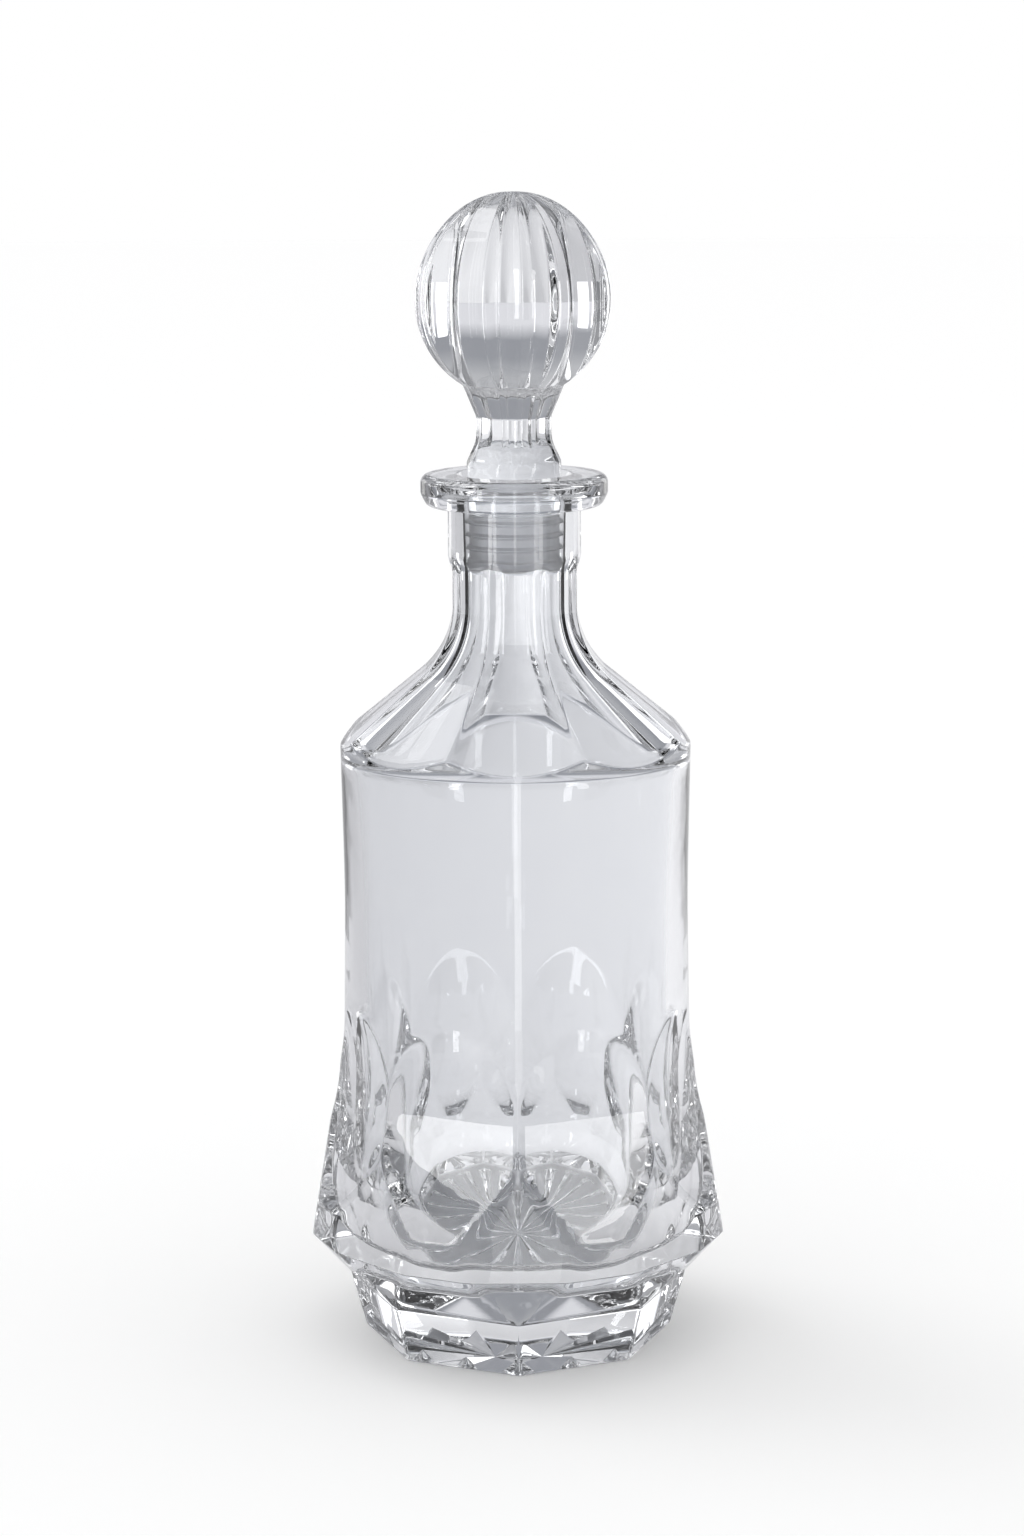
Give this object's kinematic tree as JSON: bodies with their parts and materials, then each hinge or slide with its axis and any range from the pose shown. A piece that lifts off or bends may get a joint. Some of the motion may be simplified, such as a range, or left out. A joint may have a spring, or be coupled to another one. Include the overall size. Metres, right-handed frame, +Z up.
{
  "type": "wine decanter",
  "caption": "Clear crystal wine decanter with an octagonal foot, a petalled base, a panelled shoulder and neck, a round lip and a fluted ball stopper that lifts out.",
  "frame": {"origin": "middle of the foot's resting face", "axes": "+Z up along the decanter's axis, -Y towards the front, where the foot has a corner and the shoulder a flat panel"},
  "size_m": [0.1076, 0.1076, 0.2987],
  "materials": {
    "crystal_body": "clear pressed crystal, fire polished",
    "crystal_stopper": "clear pressed crystal, fire polished",
    "seal_polyethylene": "milky translucent moulded polyethylene"
  },
  "bodies": {
    "decanter": {"decanter_body": "crystal_body"},
    "seal": {"stopper_seal": "seal_polyethylene"},
    "stopper": {"stopper": "crystal_stopper"}
  },
  "joints": [
    {"name": "stopper_lift", "type": "slide", "parent": "decanter", "child": "seal", "axis": [0, 0, 1], "range_m": [0, 0.06]},
    {"name": "stopper_turn", "type": "hinge", "parent": "seal", "child": "stopper", "pos_m": [0, 0, 0.21], "axis": [0, 0, 1], "continuous": true}
  ]
}
